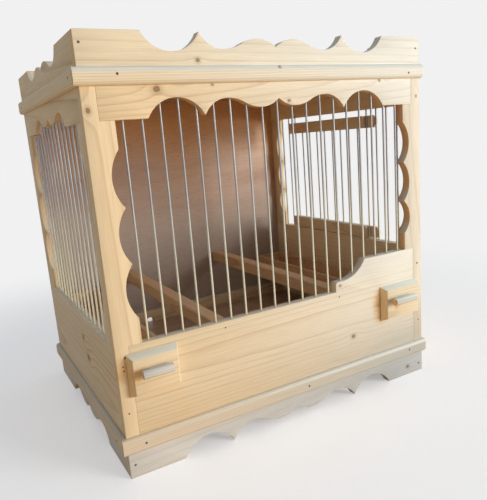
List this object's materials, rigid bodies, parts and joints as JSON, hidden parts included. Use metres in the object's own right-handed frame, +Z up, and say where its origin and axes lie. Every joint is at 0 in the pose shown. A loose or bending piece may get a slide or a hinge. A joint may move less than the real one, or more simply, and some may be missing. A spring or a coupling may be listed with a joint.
{
  "type": "canary breeding cage",
  "caption": "Wooden bird cage with scroll-cut crown and skirt, wire windows, a side door, seed drawers, perches and a slide-out tray.",
  "frame": {"origin": "centre of the bounding box on the surface the cage stands on", "axes": "+X to the right seen from the front, +Y from the front with the seed drawers to the back panel, +Z up"},
  "size_m": [0.359, 0.3032, 0.365],
  "materials": {
    "pine": "bare sawn and planed softwood",
    "perch_wood": "bare, worn",
    "plywood": "bare reddish brown plywood",
    "steel_wire": "drawn wire, dull"
  },
  "bodies": {
    "case": {"crown_front": "pine", "crown_back": "pine", "crown_left": "pine", "crown_right": "pine", "upper_band_front": "pine", "upper_band_back": "pine", "upper_band_left": "pine", "upper_band_right": "pine", "roof_panel": "plywood", "front_stile_left": "pine", "front_stile_right": "pine", "front_valance": "pine", "front_board": "pine", "left_header": "pine", "left_board": "pine", "left_stile_front": "pine", "left_stile_rear": "pine", "right_header": "pine", "right_board": "pine", "right_stile_front": "pine", "right_stile_rear": "pine", "back_panel": "plywood", "floor_panel": "plywood", "lower_band_front": "pine", "lower_band_back": "pine", "lower_band_left": "pine", "lower_band_right": "pine", "skirt_front": "pine", "skirt_back": "pine", "skirt_left": "pine", "skirt_right": "pine", "front_wires": "steel_wire", "left_wires": "steel_wire", "right_front_wires": "steel_wire", "right_rear_wires": "steel_wire", "hinge_wire": "steel_wire", "perch_left_bar": "perch_wood", "perch_right_bar": "perch_wood", "runner_left": "pine", "runner_right": "pine"},
    "door": {"door_top_rail": "pine", "door_bottom_rail": "pine", "door_wires": "steel_wire"},
    "tray": {"tray_sheet": "plywood", "tray_strip": "pine"},
    "drawer_left": {"drawer_left_block": "pine", "drawer_left_pull": "pine", "drawer_left_bottom": "pine", "drawer_left_inner_side": "pine", "drawer_left_outer_side": "pine", "drawer_left_back": "pine"},
    "drawer_right": {"drawer_right_block": "pine", "drawer_right_pull": "pine", "drawer_right_bottom": "pine", "drawer_right_inner_side": "pine", "drawer_right_outer_side": "pine", "drawer_right_back": "pine"}
  },
  "joints": [
    {"name": "door_hinge", "type": "hinge", "parent": "case", "child": "door", "pos_m": [0.1705, 0.08715, 0.2195], "axis": [0, 0, 1], "range_deg": [0, 155]},
    {"name": "tray_slide", "type": "slide", "parent": "case", "child": "tray", "axis": [0, 1, 0], "range_m": [0, 0.23]},
    {"name": "drawer_left_slide", "type": "slide", "parent": "case", "child": "drawer_left", "axis": [0, -1, 0], "range_m": [0, 0.22]},
    {"name": "drawer_right_slide", "type": "slide", "parent": "case", "child": "drawer_right", "axis": [0, -1, 0], "range_m": [0, 0.22]}
  ]
}
